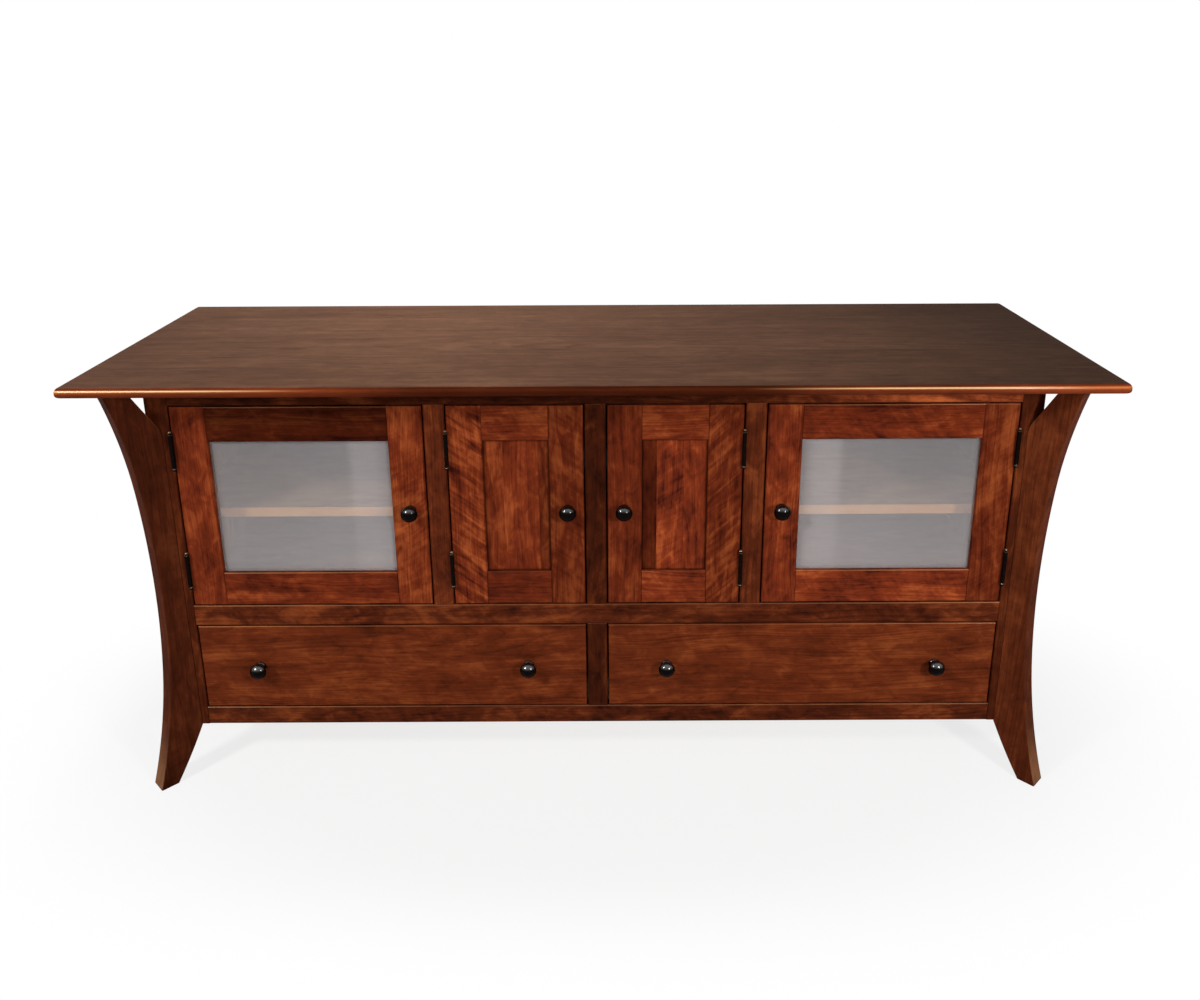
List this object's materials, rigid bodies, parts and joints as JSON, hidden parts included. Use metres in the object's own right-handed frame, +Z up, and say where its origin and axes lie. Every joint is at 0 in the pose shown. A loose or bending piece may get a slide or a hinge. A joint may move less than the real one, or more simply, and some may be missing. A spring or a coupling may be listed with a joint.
{
  "type": "tv stand",
  "caption": "Low wooden media stand with an overhanging top, flared diagonal corner legs, inset glass and panel doors, and slab drawers below.",
  "frame": {"origin": "on the floor under the middle of the stand", "axes": "+X to the right seen from the front, +Y to the back, +Z up; the front faces -Y"},
  "size_m": [1.829, 0.61, 0.838],
  "materials": {
    "wood_top": "dark stained cherry, satin lacquer",
    "wood_case": "dark stained cherry, satin lacquer",
    "wood_leg": "dark stained cherry, satin lacquer",
    "wood_door": "red brown stained cherry, satin lacquer",
    "wood_drawer": "red brown stained cherry, satin lacquer",
    "wood_inside": "natural veneer, clear matt lacquer",
    "wood_pale": "clear lacquered hardwood",
    "glass": "float glass with a pale haze",
    "black_metal": "black, semi-gloss",
    "steel": "zinc plated",
    "black_plastic": "matt black"
  },
  "bodies": {
    "case": {"top_panel": "wood_top", "leg_front_left": "wood_leg", "leg_front_right": "wood_leg", "leg_rear_left": "wood_leg", "leg_rear_right": "wood_leg", "side_panel_left": "wood_case", "side_panel_right": "wood_case", "back_panel": "wood_inside", "bottom_panel": "wood_inside", "mid_deck": "wood_inside", "partition_left": "wood_inside", "partition_centre": "wood_inside", "partition_right": "wood_inside", "drawer_divider": "wood_inside", "top_stretchers": "wood_inside", "stile_left": "wood_case", "stile_right": "wood_case", "top_rail": "wood_case", "mid_rail": "wood_case", "bottom_rail": "wood_case", "mullions": "wood_case", "drawer_mullion": "wood_case", "shelves": "wood_pale", "shelf_supports": "steel", "hinge_frame_leaves": "black_metal", "hinge_pins": "black_metal", "drawer_runners": "wood_pale", "door_catches": "black_plastic"},
    "left_glass_door": {"left_glass_door_stiles": "wood_door", "left_glass_door_rails": "wood_door", "left_glass_door_glass": "glass", "left_glass_door_stops": "wood_door", "left_glass_door_knob": "black_metal", "left_glass_door_hinge_leaves": "black_metal"},
    "left_panel_door": {"left_panel_door_stiles": "wood_door", "left_panel_door_rails": "wood_door", "left_panel_door_panel": "wood_door", "left_panel_door_knob": "black_metal", "left_panel_door_hinge_leaves": "black_metal"},
    "right_panel_door": {"right_panel_door_stiles": "wood_door", "right_panel_door_rails": "wood_door", "right_panel_door_panel": "wood_door", "right_panel_door_knob": "black_metal", "right_panel_door_hinge_leaves": "black_metal"},
    "right_glass_door": {"right_glass_door_stiles": "wood_door", "right_glass_door_rails": "wood_door", "right_glass_door_glass": "glass", "right_glass_door_stops": "wood_door", "right_glass_door_knob": "black_metal", "right_glass_door_hinge_leaves": "black_metal"},
    "left_drawer": {"left_drawer_front": "wood_drawer", "left_drawer_sides": "wood_pale", "left_drawer_back": "wood_pale", "left_drawer_bottom": "wood_pale", "left_drawer_knobs": "black_metal"},
    "right_drawer": {"right_drawer_front": "wood_drawer", "right_drawer_sides": "wood_pale", "right_drawer_back": "wood_pale", "right_drawer_bottom": "wood_pale", "right_drawer_knobs": "black_metal"}
  },
  "joints": [
    {"name": "left_glass_door_hinge", "type": "hinge", "parent": "case", "child": "left_glass_door", "pos_m": [-0.771, -0.20695, 0.5705], "axis": [0, 0, -1], "range_deg": [0, 100]},
    {"name": "left_panel_door_hinge", "type": "hinge", "parent": "case", "child": "left_panel_door", "pos_m": [-0.272, -0.20695, 0.5705], "axis": [0, 0, -1], "range_deg": [0, 100]},
    {"name": "right_panel_door_hinge", "type": "hinge", "parent": "case", "child": "right_panel_door", "pos_m": [0.272, -0.20695, 0.5705], "axis": [0, 0, 1], "range_deg": [0, 100]},
    {"name": "right_glass_door_hinge", "type": "hinge", "parent": "case", "child": "right_glass_door", "pos_m": [0.771, -0.20695, 0.5705], "axis": [0, 0, 1], "range_deg": [0, 100]},
    {"name": "left_drawer_slide", "type": "slide", "parent": "case", "child": "left_drawer", "axis": [0, -1, 0], "range_m": [0, 0.3]},
    {"name": "right_drawer_slide", "type": "slide", "parent": "case", "child": "right_drawer", "axis": [0, -1, 0], "range_m": [0, 0.3]}
  ]
}
